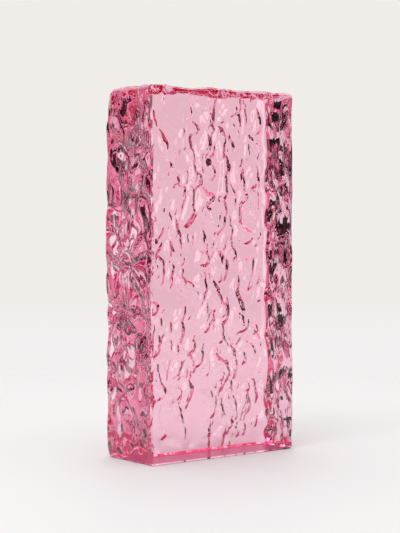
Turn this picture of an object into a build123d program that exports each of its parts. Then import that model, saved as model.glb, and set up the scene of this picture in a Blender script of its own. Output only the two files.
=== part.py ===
# Solid cast glass block, standing on its flat base end.
# Millimetres. +X is the width, +Y runs from the flat front face into the thickness, +Z is up.
# The origin is the centre of the base.
import os
from math import cos, dist, pi, radians, sin, sqrt

from build123d import *

# Overall size, to the crests of the cast relief
WIDTH = 100.0
THICKNESS = 45.0
HEIGHT = 200.0

# Edges
CORNER_RADIUS = 4.5      # the two upright edges at the back
CORNER_GAIN = 4.0        # how much rounder they are at both ends, where the glass left the mould unfilled
CORNER_REACH = 20.0      # how far from each end that rounding starts
RIM_RADIUS = 2.8         # round the top end, apart from the front face
FRONT_ARRIS = 0.9        # the bevel ground round the flat front face
BASE_ARRIS = 1.1         # the bevel ground round the base, behind the front face

# Cast relief: waves over both sides, the back and the top end
WAVE_COUNT = 12
WAVE_SHORTEST = 28.0
WAVE_LONGEST = 60.0
WAVE_HEIGHT = 0.14       # of each wave, from its mean level
CREST_SHARE = 0.58       # of all the waves' heights together, the most that they reach anywhere

# How closely the cast surface follows the waves and the rounded edges
STATION_SPACING = 6.5
SPACING_GROWTH = 1.6     # of the stations' spacing, from a rounded edge out to the usual one
TURN_STEPS = 6
RIM_STEPS = 5
RIM_TURN = 75            # degrees that the walls turn in over the rim before the top end cuts them

# The flat lid that closes the loft over the top end, before it is cut off
LID_STEPS = 3
LID_REACH = 3.6
LID_CLEAR = 0.5

# How far the cast surface and the cutters run past the faces that are cut
OVERRUN = 3.0

GOLDEN_ANGLE = pi * (3 - sqrt(5))

# How far the mean level of the cast surfaces lies inside their highest crests
LEVEL = CREST_SHARE * WAVE_COUNT * WAVE_HEIGHT


def wave_set():
    """Wave vectors and phases: directions evenly over a sphere, lengths evenly from short to long."""
    waves = []
    for i in range(WAVE_COUNT):
        up = 1 - (2 * i + 1) / WAVE_COUNT
        flat = sqrt(1 - up * up)
        turn = GOLDEN_ANGLE * i
        share = (5 * i % WAVE_COUNT) / max(WAVE_COUNT - 1, 1)
        pitch = 2 * pi / (WAVE_SHORTEST + (WAVE_LONGEST - WAVE_SHORTEST) * share)
        waves.append((pitch * flat * cos(turn), pitch * flat * sin(turn), pitch * up, GOLDEN_ANGLE * i * i))
    return waves


WAVES = wave_set()


def swell(x, y, z):
    """Height of the waves above their mean level at a point of the block's surface."""
    return WAVE_HEIGHT * sum(sin(kx * x + ky * y + kz * z + phase) for kx, ky, kz, phase in WAVES)


def steps_along(length):
    return max(round(length / STATION_SPACING), 2)


def evenly(start, end):
    """Stations from start to end, without the last, about one spacing apart."""
    count = steps_along(abs(end - start))
    return [start + (end - start) * i / count for i in range(count)]


def spreading(length, first):
    """Stations over a length whose spacing grows from a first step up to the usual one."""
    places = [0]
    step = first
    while length - places[-1] > SPACING_GROWTH * step:
        places.append(places[-1] + step)
        step = min(step * SPACING_GROWTH, STATION_SPACING)
    return places + [length]


def rim_ring(degrees):
    """How far in from the wall and up from its start the rim's round has come after a turn, and the tilt there."""
    tilt = radians(degrees)
    return RIM_RADIUS * (1 - cos(tilt)), RIM_RADIUS * sin(tilt), tilt


def ring_profile():
    """Inset, height and tilt of the rings that climb the walls and turn in over the rim."""
    rim_start = HEIGHT - LEVEL - RIM_RADIUS
    turn_step = RIM_RADIUS * radians(RIM_TURN) / RIM_STEPS
    climb = [rim_start - down for down in reversed(spreading(3 * STATION_SPACING, turn_step))]
    rings = [(0, z, 0) for z in evenly(-OVERRUN, climb[0]) + climb[:-1]]
    for i in range(RIM_STEPS + 1):
        inset, up, tilt = rim_ring(RIM_TURN * i / RIM_STEPS)
        rings.append((inset, rim_start + up, tilt))
    inset, z, tilt = rings[-1]
    return rings + [(inset + turn_step * sin(tilt), z + turn_step * cos(tilt), tilt)]


def corner_radius(z):
    to_end = max(min(z, HEIGHT - z), 0)
    return CORNER_RADIUS + CORNER_GAIN * max(1 - to_end / CORNER_REACH, 0) ** 2


def ring_plan(inset, z, front):
    """Points and outward directions of one ring along the left side, the back and the right side."""
    half, back = WIDTH / 2 - inset, THICKNESS / 2 - inset
    r = corner_radius(z) - min(inset, RIM_RADIUS) / 2
    side_steps = steps_along(THICKNESS)
    back_steps = steps_along(WIDTH)
    left = [(-half, front + (back - r - front) * i / side_steps, -1, 0) for i in range(side_steps)]
    for i in range(TURN_STEPS + 1):
        turn = radians(90 * i / TURN_STEPS)
        left.append((r - half - r * cos(turn), back - r + r * sin(turn), -cos(turn), sin(turn)))
    middle = [(2 * (half - r) * (i / back_steps - 0.5), back, 0, 1) for i in range(1, back_steps)]
    right = [(-x, y, -out_x, out_y) for x, y, out_x, out_y in reversed(left)]
    return left + middle + right


def waved(x, y, z, out_x, out_y, tilt):
    """A point of the mean surface moved out or in by the waves, square to the surface."""
    rise = swell(x, y, z)
    return Vector(x + out_x * rise * cos(tilt), y + out_y * rise * cos(tilt), z + rise * sin(tilt))


def shares_along(points):
    """How far along a line of points each of them is, from 0 to 1."""
    along = [0]
    for here, following in zip(points, points[1:]):
        along.append(along[-1] + dist(here, following))
    return [distance / along[-1] for distance in along]


def corner_marks():
    """Which points of a ring begin and end its two rounded corners, where one face of the skin meets the next."""
    start = steps_along(THICKNESS)
    end = start + TURN_STEPS
    last = 2 * end + steps_along(WIDTH)
    return [start, end, last - end, last - start]


def closed_by_line(points, shares, marks=()):
    """A smooth line through the points, divided at the marks and closed by a straight one."""
    cast = Edge.make_spline(points, parameters=shares)
    ends = [0, *marks, len(points) - 1]
    pieces = [cast.trim(points[start], points[end]) for start, end in zip(ends, ends[1:])]
    return Wire([*pieces, Edge.make_line(cast @ 1, cast @ 0)])


def cast_walls():
    """Both sides and the back, turning in over the rim, as one loft that runs on ahead of the front face."""
    front = -THICKNESS / 2 - OVERRUN
    profile = ring_profile()
    shares = shares_along([(x, y) for x, y, _, _ in ring_plan(LEVEL, HEIGHT / 2, front)])
    marks = corner_marks()
    rings = []
    for inset, z, tilt in profile:
        plan = ring_plan(LEVEL + inset, z, front)
        points = [waved(x, y, z, out_x, out_y, tilt) for x, y, out_x, out_y in plan]
        rings.append(closed_by_line(points, shares, marks))
    # The rings that follow lead up to a flat lid over the crests, and are cut off with it
    inset, z, tilt = profile[-1]
    for i in range(1, LID_STEPS + 1):
        share = i / LID_STEPS
        plan = ring_plan(LEVEL + inset + share * LID_REACH, z, front)
        low = [waved(x, y, z, 0, 0, tilt) for x, y, _, _ in plan]
        points = [p + share * (Vector(p.X, p.Y, HEIGHT + LID_CLEAR) - p) for p in low]
        rings.append(closed_by_line(points, shares, marks))
    return Solid.make_loft(rings)


def half_space(align, place):
    """A large block on one side of a flat face, which cuts that face."""
    reach = 2 * (WIDTH + THICKNESS + HEIGHT)
    return Box(reach, reach, reach, align=align).moved(Location(place))


def above_top():
    """The space over the top end, whose underside has the waves of that end."""
    half_x, half_y = WIDTH / 2 + OVERRUN, THICKNESS / 2 + 2 * OVERRUN
    xs = evenly(-half_x, half_x) + [half_x]
    ys = evenly(-half_y, half_y) + [half_y]
    level = HEIGHT - LEVEL
    grid = [[Vector(x, y, level + swell(x, y, level)) for y in ys] for x in xs]
    sheet = Face.make_surface_from_array_of_points(grid)
    return Solid.extrude(sheet, Vector(0, 0, 2 * LEVEL + LID_CLEAR + OVERRUN))


def front_outline(outward, y):
    """The front face's outline, moved outward and to another depth: up one side, over the top and down the other."""
    side, top = WIDTH / 2 - LEVEL, HEIGHT - LEVEL
    path = [(-side, z, -1, 0) for z in evenly(0, top - RIM_RADIUS)]
    for i in range(RIM_STEPS + 1):
        inset, up, tilt = rim_ring(90 * i / RIM_STEPS)
        path.append((inset - side, top - RIM_RADIUS + up, -cos(tilt), sin(tilt)))
    reach = side - RIM_RADIUS
    over = [(x, top, 0, 1) for x in evenly(-reach, reach)[1:]]
    down = [(-x, z, -out_x, out_z) for x, z, out_x, out_z in reversed(path)]
    points = []
    for x, z, out_x, out_z in path + over + down:
        rise = swell(x, -THICKNESS / 2, z) + outward
        points.append(Vector(x + out_x * rise, y, z + out_z * rise))
    # Both ends stand on the base edge, which moves outward with the rest
    lower = Vector(0, 0, -outward)
    return [points[0] + lower] + points[1:-1] + [points[-1] + lower]


def base_outline(outward, z):
    """The base's outline along the sides and the back, moved outward and to another height."""
    plan = ring_plan(LEVEL, 0, -THICKNESS / 2 - 2 * OVERRUN)
    points = [waved(x, y, 0, out_x, out_y, 0) + outward * Vector(out_x, out_y, 0) for x, y, out_x, out_y in plan]
    return [Vector(p.X, p.Y, z) for p in points]


def bevel_cutter(outline, face_at, arris, slab):
    """What a 45 degree bevel takes off round a flat face: a slab less a flare through the bevel."""
    lines = [outline(-arris - OVERRUN, face_at - OVERRUN), outline(OVERRUN, face_at + arris + OVERRUN)]
    shares = shares_along([tuple(p) for p in lines[1]])
    flare = Solid.make_loft([closed_by_line(line, shares) for line in lines], ruled=True)
    return slab(face_at - OVERRUN / 2, face_at + arris + OVERRUN / 2).cut(flare)


def front_slab(near, far):
    size = Box(WIDTH + 6 * OVERRUN, far - near, HEIGHT + 3 * OVERRUN)
    return size.moved(Location((0, (near + far) / 2, HEIGHT / 2)))


def base_slab(near, far):
    return Box(WIDTH + 6 * OVERRUN, THICKNESS + 3 * OVERRUN, far - near).moved(Location((0, 0, (near + far) / 2)))


def glass_block():
    ahead = half_space((Align.CENTER, Align.MAX, Align.CENTER), (0, -THICKNESS / 2, 0))
    below = half_space((Align.CENTER, Align.CENTER, Align.MAX), (0, 0, 0))
    block = cast_walls().cut(above_top()).cut(ahead).cut(below)
    block = block.cut(bevel_cutter(front_outline, -THICKNESS / 2, FRONT_ARRIS, front_slab))
    return block.cut(bevel_cutter(base_outline, 0, BASE_ARRIS, base_slab))


def main():
    os.makedirs("parts", exist_ok=True)
    export_step(glass_block(), "parts/glass_block.step")


if __name__ == "__main__":
    main()
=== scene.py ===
# A solid pink cast glass block, standing on a pale studio floor.
import math

import bmesh
import bpy
import numpy as np
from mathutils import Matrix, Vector, noise


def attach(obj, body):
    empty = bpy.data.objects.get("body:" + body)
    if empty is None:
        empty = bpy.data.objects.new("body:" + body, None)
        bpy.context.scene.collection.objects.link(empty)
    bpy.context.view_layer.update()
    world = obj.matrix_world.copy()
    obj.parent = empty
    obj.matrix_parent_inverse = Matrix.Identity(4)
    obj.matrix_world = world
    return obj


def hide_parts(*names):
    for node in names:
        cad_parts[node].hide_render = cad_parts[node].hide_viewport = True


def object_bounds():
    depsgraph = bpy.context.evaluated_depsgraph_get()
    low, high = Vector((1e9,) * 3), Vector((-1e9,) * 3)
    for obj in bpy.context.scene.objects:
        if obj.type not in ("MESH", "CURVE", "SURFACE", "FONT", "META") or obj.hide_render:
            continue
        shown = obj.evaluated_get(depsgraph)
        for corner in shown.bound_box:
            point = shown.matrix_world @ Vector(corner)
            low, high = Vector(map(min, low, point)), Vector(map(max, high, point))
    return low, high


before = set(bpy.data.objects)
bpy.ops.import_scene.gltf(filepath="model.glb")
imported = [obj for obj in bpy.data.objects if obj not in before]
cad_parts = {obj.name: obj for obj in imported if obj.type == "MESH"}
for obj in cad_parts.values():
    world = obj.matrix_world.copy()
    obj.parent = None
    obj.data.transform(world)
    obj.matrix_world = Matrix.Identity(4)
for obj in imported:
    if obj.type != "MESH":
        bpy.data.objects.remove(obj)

CAD_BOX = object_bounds()
MM = 0.001

# The block's sizes and long waves, in millimetres, as in the part's source
WIDTH, THICKNESS, HEIGHT = 100.0, 45.0, 200.0
CORNER_RADIUS, CORNER_GAIN, CORNER_REACH = 4.5, 4.0, 20.0
RIM_RADIUS = 2.8
FRONT_ARRIS, BASE_ARRIS = 0.9, 1.1
WAVE_COUNT = 12
WAVE_SHORTEST, WAVE_LONGEST = 28.0, 60.0
WAVE_HEIGHT, CREST_SHARE = 0.14, 0.58
LEVEL = CREST_SHARE * WAVE_COUNT * WAVE_HEIGHT      # of the cast surfaces, inside their highest crests
GOLDEN_ANGLE = math.pi * (3 - math.sqrt(5))

# How far the part's crests reach past its nominal size on each cast side, and from that the most
# that the relief may rise above its mean level anywhere
LOW, HIGH = CAD_BOX
CRESTS = [-LOW[0] / MM - WIDTH / 2, HIGH[0] / MM - WIDTH / 2]
CRESTS += [HIGH[1] / MM - THICKNESS / 2, HIGH[2] / MM - HEIGHT]
CREST_LIMIT = LEVEL + min(CRESTS)

# Hammered relief of the cast faces, in millimetres: soft folds, and dimples and pits that meet in ridges
FOLD_SIZE, FOLD_HEIGHT = 9.0, 1.7
DIMPLE_SIZE, DIMPLE_DEPTH = 7.5, 4.6
PIT_SIZE, PIT_DEPTH = 3.4, 1.4
FLATNESS = 3            # the power that flattens the floors of the dimples and pits
MEAN_RISE = 0.17        # of their surface from those floors, as a share of their depth
FOLD_SEED, DIMPLE_SEED, PIT_SEED, UNEVEN_SEED = 2, 15, 8, 4
SIDE_FOLDS = 0.1        # how much deeper the folds are on the left and right sides, which have no pits
SIDE_DIMPLES = 0.3      # the share of the dimples' depth there
UPRIGHT_STRETCH = 1.35  # of the relief along the height
WARP_SIZE, WARP_REACH, WARP_SEED = 13.0, 5.0, 2     # of the noise that pulls the pattern about
UNEVEN_SIZE, UNEVEN_SHARE = 42.0, 1.1               # of patches with deeper and shallower dimples
BUSY_RIGHT, BUSY_LOW = 0.7, 0.5     # how much deeper they get towards the right, and towards the base
CREST_SOFTNESS = 0.25   # over which the relief is rounded off below the limit for its crests
TOP_GAIN = 1.6          # how much deeper the relief is on the top end, away from its edges

# The share of the relief left at the front face's edges, at the rounded edges and at the base
FRONT_CALM, EDGE_CALM, BASE_CALM = 0.15, 0.25, 0.6
EDGE_REACH = 6.0        # over which the relief comes back to its whole depth

# How closely the mesh follows the cast surface
MESH_STEP = 0.72
TURN_STEPS = 8
SAME_POINT = 1e-6

# Glass
GLASS_IOR = 1.5
ABSORPTION_COLOR = (0.95, 0.0, 0.38)
ABSORPTION_DENSITY = 11.2   # per metre
GROUND_SLOT = 1             # which of the piece's materials its ground base has
GROUND_COLOR, GROUND_ROUGHNESS = (1.0, 0.10, 0.50), 0.3

# Floor, in metres. From its centre outwards it gives way to the table in the world
FLOOR_COLOR, FLOOR_ROUGHNESS = (0.87, 0.855, 0.86), 0.6
FLOOR_RADIUS, FLOOR_SEGMENTS = 0.7, 96
FLOOR_FADE_FROM, FLOOR_FADE_TO = 0.14, 0.55
FLOOR_GAP = 0.0001      # of air between the floor and the base

# The room's colour by heading, in degrees from +X towards +Y
BRIGHT, PALE = (1.22, 1.20, 1.14), (0.871, 0.847, 0.815)
GREY, DIM, DARK = (0.3, 0.3, 0.3), (0.06, 0.06, 0.06), (0.01, 0.01, 0.01)
HEADING_LIGHT = (
    (-180, PALE), (-170, PALE), (-158, DARK), (-75, DARK), (-45, DIM), (-20, DARK), (6, DIM),
    (19, GREY), (29, PALE), (37, BRIGHT), (44, PALE), (61, PALE), (70, BRIGHT), (80, PALE),
    (98, PALE), (104, GREY), (109, DIM), (117, DARK), (160, DARK), (170, PALE),
)

# Where the ceiling and the table take over, as the sine of the angle above the horizon
CEILING, CEILING_FROM, CEILING_TO = (1.25, 1.25, 1.25), 0.4, 0.75
TABLE, TABLE_FROM, TABLE_TO = (0.89, 0.87, 0.87), -0.05, -0.085

# The lamp, in metres and watts
KEY_PLACE, KEY_SIZE, KEY_POWER = (-0.9, -0.4, 1.5), 0.8, 6
LIGHT_BOUNCES = 24

# The camera that took the photograph, fitted to the block's edges, in metres, degrees and millimetres of lens
CAMERA_PLACE = (-0.4911, -0.6333, 0.130)
CAMERA_HEADING, CAMERA_PITCH = 52.2, -1.93
CAMERA_LENS, SENSOR_WIDTH = 130.5, 36
CLIP_START = 0.01


def wave_set():
    """Wave vectors and phases: directions evenly over a sphere, lengths evenly from short to long."""
    waves = []
    for i in range(WAVE_COUNT):
        up = 1 - (2 * i + 1) / WAVE_COUNT
        flat = math.sqrt(1 - up * up)
        turn = GOLDEN_ANGLE * i
        share = (5 * i % WAVE_COUNT) / (WAVE_COUNT - 1)
        pitch = 2 * math.pi / (WAVE_SHORTEST + (WAVE_LONGEST - WAVE_SHORTEST) * share)
        direction = (pitch * flat * math.cos(turn), pitch * flat * math.sin(turn), pitch * up)
        waves.append((direction, GOLDEN_ANGLE * i * i))
    return waves


def swell(points):
    """Height of the long waves above their mean level, for an array of points."""
    total = np.zeros(points.shape[:-1])
    for direction, phase in wave_set():
        total += np.sin(points @ np.array(direction) + phase)
    return WAVE_HEIGHT * total


def set_apart(place, size, seed):
    """A place measured in a layer's size, moved by its seed so that no two layers line up."""
    return place / size + Vector((seed, 2 * seed, 3 * seed))


def layer(place, size, seed):
    """Smooth noise of one size, about -0.6 to 0.6."""
    return noise.noise(set_apart(place, size, seed))


def dimples(place, size, seed):
    """Flat floored dimples, about half a unit deep, whose sides meet in ridges."""
    distances, _ = noise.voronoi(set_apart(place, size, seed))
    return distances[0] ** FLATNESS - MEAN_RISE


def relief_at(x, y, z, sideways):
    """Height of the fine relief at a point, given how much the surface there faces left or right."""
    place = Vector((x, y, z / UPRIGHT_STRETCH))
    warped = place + WARP_REACH * noise.noise_vector(place / WARP_SIZE)
    busy = 1 + BUSY_RIGHT * x / WIDTH + BUSY_LOW * (0.5 - z / HEIGHT)
    uneven = busy + UNEVEN_SHARE * layer(place, UNEVEN_SIZE, UNEVEN_SEED)
    folds = FOLD_HEIGHT * layer(warped, FOLD_SIZE, FOLD_SEED)
    large = DIMPLE_DEPTH * dimples(warped, DIMPLE_SIZE, DIMPLE_SEED)
    small = PIT_DEPTH * dimples(warped, PIT_SIZE, PIT_SEED)
    large *= 1 + (SIDE_DIMPLES - 1) * sideways
    return (1 + SIDE_FOLDS * sideways) * folds + uneven * (large + (1 - sideways) * small)


def hammered(points, sideways):
    """Height of the fine relief, for arrays of points and of how much each faces left or right."""
    # Without a seed of its own the warp would be another one in every run
    noise.seed_set(WARP_SEED)
    heights = [relief_at(*point, side) for point, side in zip(points.reshape(-1, 3), sideways.flat)]
    return np.array(heights).reshape(points.shape[:-1])


def below_crest(rise):
    """Rises with the highest rounded off, so that none passes the part's highest crests."""
    room = (CREST_LIMIT - rise) / CREST_SOFTNESS
    return CREST_LIMIT - CREST_SOFTNESS * np.logaddexp(0, room)


def ring_plan(inset, z, front):
    """Points and outward directions of one ring along the left side, the back and the right side."""
    half, back = WIDTH / 2 - inset, THICKNESS / 2 - inset
    to_end = max(min(z, HEIGHT - z), 0)
    mould_radius = CORNER_RADIUS + CORNER_GAIN * max(1 - to_end / CORNER_REACH, 0) ** 2
    r = max(mould_radius - LEVEL / 2 - (inset - LEVEL), 0)
    r = min(r, back - front)
    side_steps = round(THICKNESS / MESH_STEP)
    back_steps = round(WIDTH / MESH_STEP)
    left = [(-half, front + (back - r - front) * i / side_steps, -1, 0) for i in range(side_steps)]
    for i in range(TURN_STEPS + 1):
        turn = math.pi / 2 * i / TURN_STEPS
        out_x, out_y = -math.cos(turn), math.sin(turn)
        left.append((r - half + r * out_x, back - r + r * out_y, out_x, out_y))
    middle = [(2 * (half - r) * (i / back_steps - 0.5), back, 0, 1) for i in range(1, back_steps)]
    right = [(-x, y, -out_x, out_y) for x, y, out_x, out_y in reversed(left)]
    return left + middle + right


def ring_profile():
    """Inset, height and tilt of the rings: up the walls, over the rim and closing in over the top end."""
    top = HEIGHT - LEVEL
    rim_start = top - RIM_RADIUS
    wall = rim_start - BASE_ARRIS
    wall_steps = round(wall / MESH_STEP)
    rings = [(LEVEL, BASE_ARRIS + wall * i / wall_steps, 0) for i in range(wall_steps)]
    for i in range(TURN_STEPS + 1):
        tilt = math.pi / 2 * i / TURN_STEPS
        inset = LEVEL + RIM_RADIUS * (1 - math.cos(tilt))
        rings.append((inset, rim_start + RIM_RADIUS * math.sin(tilt), tilt))
    first, last = LEVEL + RIM_RADIUS, THICKNESS - FRONT_ARRIS
    top_steps = round((last - first) / MESH_STEP)
    for i in range(1, top_steps + 1):
        rings.append((first + (last - first) * i / top_steps, top, math.pi / 2))
    return rings


def easing(distance, at_edge):
    """From one share at an edge up to the whole, smoothly over the edge's reach."""
    share = np.clip(distance / EDGE_REACH, 0, 1)
    return at_edge + (1 - at_edge) * share * share * (3 - 2 * share)


def depth_share(points, upward):
    """The share of the fine relief at each point: less near the edges, and more on what faces up."""
    x, y, z = np.moveaxis(points, -1, 0)
    # A point lies on one of these three sides, and a rounded edge is where the next of them is near as well
    inside = np.sort([WIDTH / 2 - abs(x), THICKNESS / 2 - y, HEIGHT - z], axis=0)
    from_front = THICKNESS / 2 + y
    more = 1 + TOP_GAIN * upward * easing(np.minimum(inside[1], from_front), 0)
    return more * easing(inside[1], EDGE_CALM) * easing(z, BASE_CALM) * easing(from_front, FRONT_CALM)


def cast_skin():
    """The cast skin as a grid of points, with the direction that each faces."""
    front = -THICKNESS / 2 + FRONT_ARRIS
    places, facing = [], []
    for inset, z, tilt in ring_profile():
        plan = ring_plan(inset, z, front)
        places.append([(x, y, z) for x, y, _, _ in plan])
        facing.append([(ox * math.cos(tilt), oy * math.cos(tilt), math.sin(tilt)) for _, _, ox, oy in plan])
    places, facing = np.array(places), np.array(facing)
    relief = hammered(places, abs(facing[..., 0])) * depth_share(places, facing[..., 2])
    rise = below_crest(swell(places) + relief)
    return places + facing * rise[..., None], facing


def front_edge(ring_count, ring_length):
    """Ring and place of the skin's points round the front face: up one side, over the top, down the other."""
    up = [(j, 0) for j in range(ring_count)]
    over = [(ring_count - 1, i) for i in range(1, ring_length)]
    down = [(j, ring_length - 1) for j in reversed(range(ring_count - 1))]
    return up + over + down


def row_of_verts(mesh, points):
    """Vertices for a row of points, where neighbours that fall together share one."""
    verts = []
    for i, point in enumerate(points):
        together = i > 0 and np.allclose(point, points[i - 1], rtol=0, atol=SAME_POINT)
        verts.append(verts[-1] if together else mesh.verts.new(point * MM))
    return verts


def add_face(mesh, verts, smooth):
    """A face through the vertices, unless so many are shared that fewer than three are left."""
    unique = list(dict.fromkeys(verts))
    if len(unique) < 3:
        return None
    face = mesh.faces.new(unique)
    face.smooth = smooth
    return face


def strip(mesh, lower, upper):
    """Faces between two rows of vertices, with both rows kept as sharp edges."""
    for i in range(len(lower) - 1):
        add_face(mesh, (lower[i], lower[i + 1], upper[i + 1], upper[i]), True)
    for row in (lower, upper):
        for a, b in zip(row, row[1:]):
            edge = mesh.edges.get((a, b)) if a is not b else None
            if edge:
                edge.smooth = False


def add_object(name, data):
    """An object with this data, in the scene."""
    holder = bpy.data.objects.new(name, data)
    bpy.context.scene.collection.objects.link(holder)
    return holder


def object_from(mesh, name):
    """An object made of a finished bmesh, which is freed."""
    data = bpy.data.meshes.new(name)
    mesh.to_mesh(data)
    mesh.free()
    return add_object(name, data)


def block_piece():
    """The whole block as one closed mesh: the cast skin, the ground bevels, the front face and the base."""
    skin, facing = cast_skin()
    mesh = bmesh.new()
    rows = [row_of_verts(mesh, points) for points in skin]
    for below, above in zip(rows, rows[1:]):
        for i in range(len(below) - 1):
            add_face(mesh, (below[i], below[i + 1], above[i + 1], above[i]), True)
    # The bevel round the front face, apart from its lower edge
    edge = front_edge(*skin.shape[:2])
    front_points = np.array([skin[place] - FRONT_ARRIS * facing[place] for place in edge])
    front_points[:, 1] = -THICKNESS / 2
    front_row = row_of_verts(mesh, front_points)
    strip(mesh, [rows[j][i] for j, i in edge], front_row)
    # The bevel round the base
    base_points = skin[0] - BASE_ARRIS * facing[0]
    base_points[:, 2] = 0
    base_row = row_of_verts(mesh, base_points)
    strip(mesh, base_row, rows[0])
    # The lower edge of the front face, its two corners, and the two flat faces
    strip(mesh, [base_row[0], base_row[-1]], [front_row[0], front_row[-1]])
    add_face(mesh, (rows[0][0], front_row[0], base_row[0]), False)
    add_face(mesh, (rows[0][-1], base_row[-1], front_row[-1]), False)
    add_face(mesh, front_row, False)
    base = add_face(mesh, base_row, False)
    base.material_index = GROUND_SLOT
    bmesh.ops.recalc_face_normals(mesh, faces=mesh.faces)
    return object_from(mesh, "cast_glass")


def plain_material(name, color, roughness):
    """A material of one colour and roughness."""
    material = bpy.data.materials.new(name)
    material.use_nodes = True
    shader = material.node_tree.nodes["Principled BSDF"]
    shader.inputs["Base Color"].default_value = (*color, 1)
    shader.inputs["Roughness"].default_value = roughness
    return material


def glass_material():
    """Clear glass with the colour in its depth, so that long paths through it turn deep pink."""
    material = plain_material("pink_glass", (1, 1, 1), 0)
    nodes, links = material.node_tree.nodes, material.node_tree.links
    shader = nodes["Principled BSDF"]
    shader.inputs["IOR"].default_value = GLASS_IOR
    shader.inputs["Transmission Weight"].default_value = 1
    depth = nodes.new("ShaderNodeVolumeAbsorption")
    depth.inputs["Color"].default_value = (*ABSORPTION_COLOR, 1)
    depth.inputs["Density"].default_value = ABSORPTION_DENSITY
    links.new(depth.outputs["Volume"], nodes["Material Output"].inputs["Volume"])
    return material


def smooth_step(tree, value, start, end):
    """A node's output that eases from 0, where the value is at the start, to 1 at the end."""
    step = tree.nodes.new("ShaderNodeMapRange")
    step.interpolation_type = "SMOOTHSTEP"
    step.inputs["From Min"].default_value = start
    step.inputs["From Max"].default_value = end
    tree.links.new(value, step.inputs["Value"])
    return step.outputs[0]


def color_by_heading(tree, split):
    """The room's colour in the direction whose parts are split, by its heading alone."""
    heading = tree.nodes.new("ShaderNodeMath")
    heading.operation = "ARCTAN2"
    tree.links.new(split.outputs["Y"], heading.inputs[0])
    tree.links.new(split.outputs["X"], heading.inputs[1])
    turned = tree.nodes.new("ShaderNodeMapRange")
    turned.inputs["From Min"].default_value = -math.pi
    turned.inputs["From Max"].default_value = math.pi
    tree.links.new(heading.outputs[0], turned.inputs["Value"])
    ramp = tree.nodes.new("ShaderNodeValToRGB")
    tree.links.new(turned.outputs[0], ramp.inputs["Fac"])
    ramp.color_ramp.interpolation = "EASE"
    # A ramp starts with a stop at each end, of which the first is kept for the first heading
    stops = ramp.color_ramp.elements
    stops.remove(stops[-1])
    for degrees, color in HEADING_LIGHT:
        place = (degrees + 180) / 360
        stop = stops.new(place) if place > 0 else stops[0]
        stop.color = (*color, 1)
    return ramp.outputs["Color"]


def studio_world():
    """A pale backdrop behind and beside the block, in a dark room with a white ceiling and a pale table."""
    world = bpy.data.worlds.new("studio")
    bpy.context.scene.world = world
    world.use_nodes = True
    tree = world.node_tree
    tree.nodes.clear()
    place = tree.nodes.new("ShaderNodeTexCoord")
    split = tree.nodes.new("ShaderNodeSeparateXYZ")
    tree.links.new(place.outputs["Generated"], split.inputs[0])
    room = color_by_heading(tree, split)
    for color, start, end in ((CEILING, CEILING_FROM, CEILING_TO), (TABLE, TABLE_FROM, TABLE_TO)):
        blend = tree.nodes.new("ShaderNodeMix")
        blend.data_type = "RGBA"
        tree.links.new(smooth_step(tree, split.outputs["Z"], start, end), blend.inputs["Factor"])
        tree.links.new(room, blend.inputs["A"])
        blend.inputs["B"].default_value = (*color, 1)
        room = blend.outputs["Result"]
    light = tree.nodes.new("ShaderNodeBackground")
    tree.links.new(room, light.inputs["Color"])
    output = tree.nodes.new("ShaderNodeOutputWorld")
    tree.links.new(light.outputs[0], output.inputs["Surface"])


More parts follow.
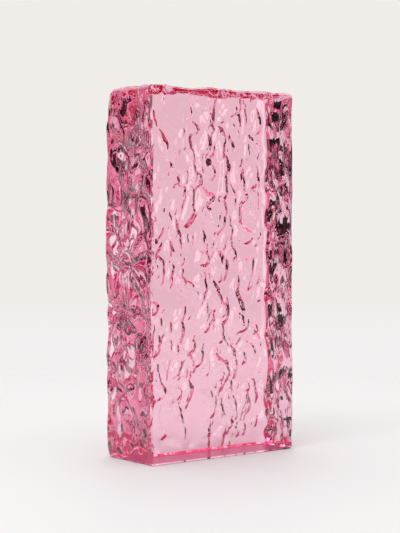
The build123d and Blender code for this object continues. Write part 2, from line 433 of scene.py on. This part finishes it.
def floor_material():
    """A pale surface that turns clear on its way out, where the table in the world takes over."""
    material = plain_material("studio_floor", FLOOR_COLOR, FLOOR_ROUGHNESS)
    tree = material.node_tree
    place = tree.nodes.new("ShaderNodeTexCoord")
    distance = tree.nodes.new("ShaderNodeVectorMath")
    distance.operation = "LENGTH"
    tree.links.new(place.outputs["Object"], distance.inputs[0])
    clear = tree.nodes.new("ShaderNodeBsdfTransparent")
    mix = tree.nodes.new("ShaderNodeMixShader")
    out = smooth_step(tree, distance.outputs["Value"], FLOOR_FADE_FROM, FLOOR_FADE_TO)
    tree.links.new(out, mix.inputs["Fac"])
    tree.links.new(tree.nodes["Principled BSDF"].outputs[0], mix.inputs[1])
    tree.links.new(clear.outputs[0], mix.inputs[2])
    tree.links.new(mix.outputs[0], tree.nodes["Material Output"].inputs["Surface"])
    return material


def studio_floor():
    """A round floor that takes the block's shadow."""
    mesh = bmesh.new()
    bmesh.ops.create_circle(mesh, cap_ends=True, segments=FLOOR_SEGMENTS, radius=FLOOR_RADIUS)
    floor = object_from(mesh, "studio_floor")
    floor.location.z = -FLOOR_GAP
    floor.data.materials.append(floor_material())


def point_along(holder, aim):
    """Turns a lamp or a camera to look along a direction, with its top up."""
    holder.rotation_euler = aim.to_track_quat("-Z", "Y").to_euler()


def soft_lamp(name, place, size, power):
    """A square lamp that shines on the middle of the block."""
    lamp = bpy.data.lights.new(name, "AREA")
    lamp.shape = "SQUARE"
    lamp.size = size
    lamp.energy = power
    holder = add_object(name, lamp)
    holder.location = place
    point_along(holder, Vector((0, 0, HEIGHT / 2 * MM)) - Vector(place))


def photo_camera():
    """The photograph's camera, as the scene's camera."""
    camera = bpy.data.cameras.new("camera")
    camera.sensor_fit = "HORIZONTAL"
    camera.sensor_width = SENSOR_WIDTH
    camera.lens = CAMERA_LENS
    camera.clip_start = CLIP_START
    holder = add_object("camera", camera)
    holder.location = CAMERA_PLACE
    heading, pitch = math.radians(CAMERA_HEADING), math.radians(CAMERA_PITCH)
    flat = math.cos(pitch)
    point_along(holder, Vector((math.cos(heading) * flat, math.sin(heading) * flat, math.sin(pitch))))
    bpy.context.scene.camera = holder


def main():
    piece = block_piece()
    piece.data.materials.append(glass_material())
    piece.data.materials.append(plain_material("ground_glass", GROUND_COLOR, GROUND_ROUGHNESS))
    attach(piece, "root")
    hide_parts("glass_block")
    studio_world()
    studio_floor()
    soft_lamp("key", KEY_PLACE, KEY_SIZE, KEY_POWER)
    photo_camera()
    scene = bpy.context.scene
    scene.view_settings.view_transform = "Standard"
    scene.cycles.max_bounces = LIGHT_BOUNCES
    scene.cycles.transmission_bounces = LIGHT_BOUNCES
    scene.cycles.glossy_bounces = LIGHT_BOUNCES


main()
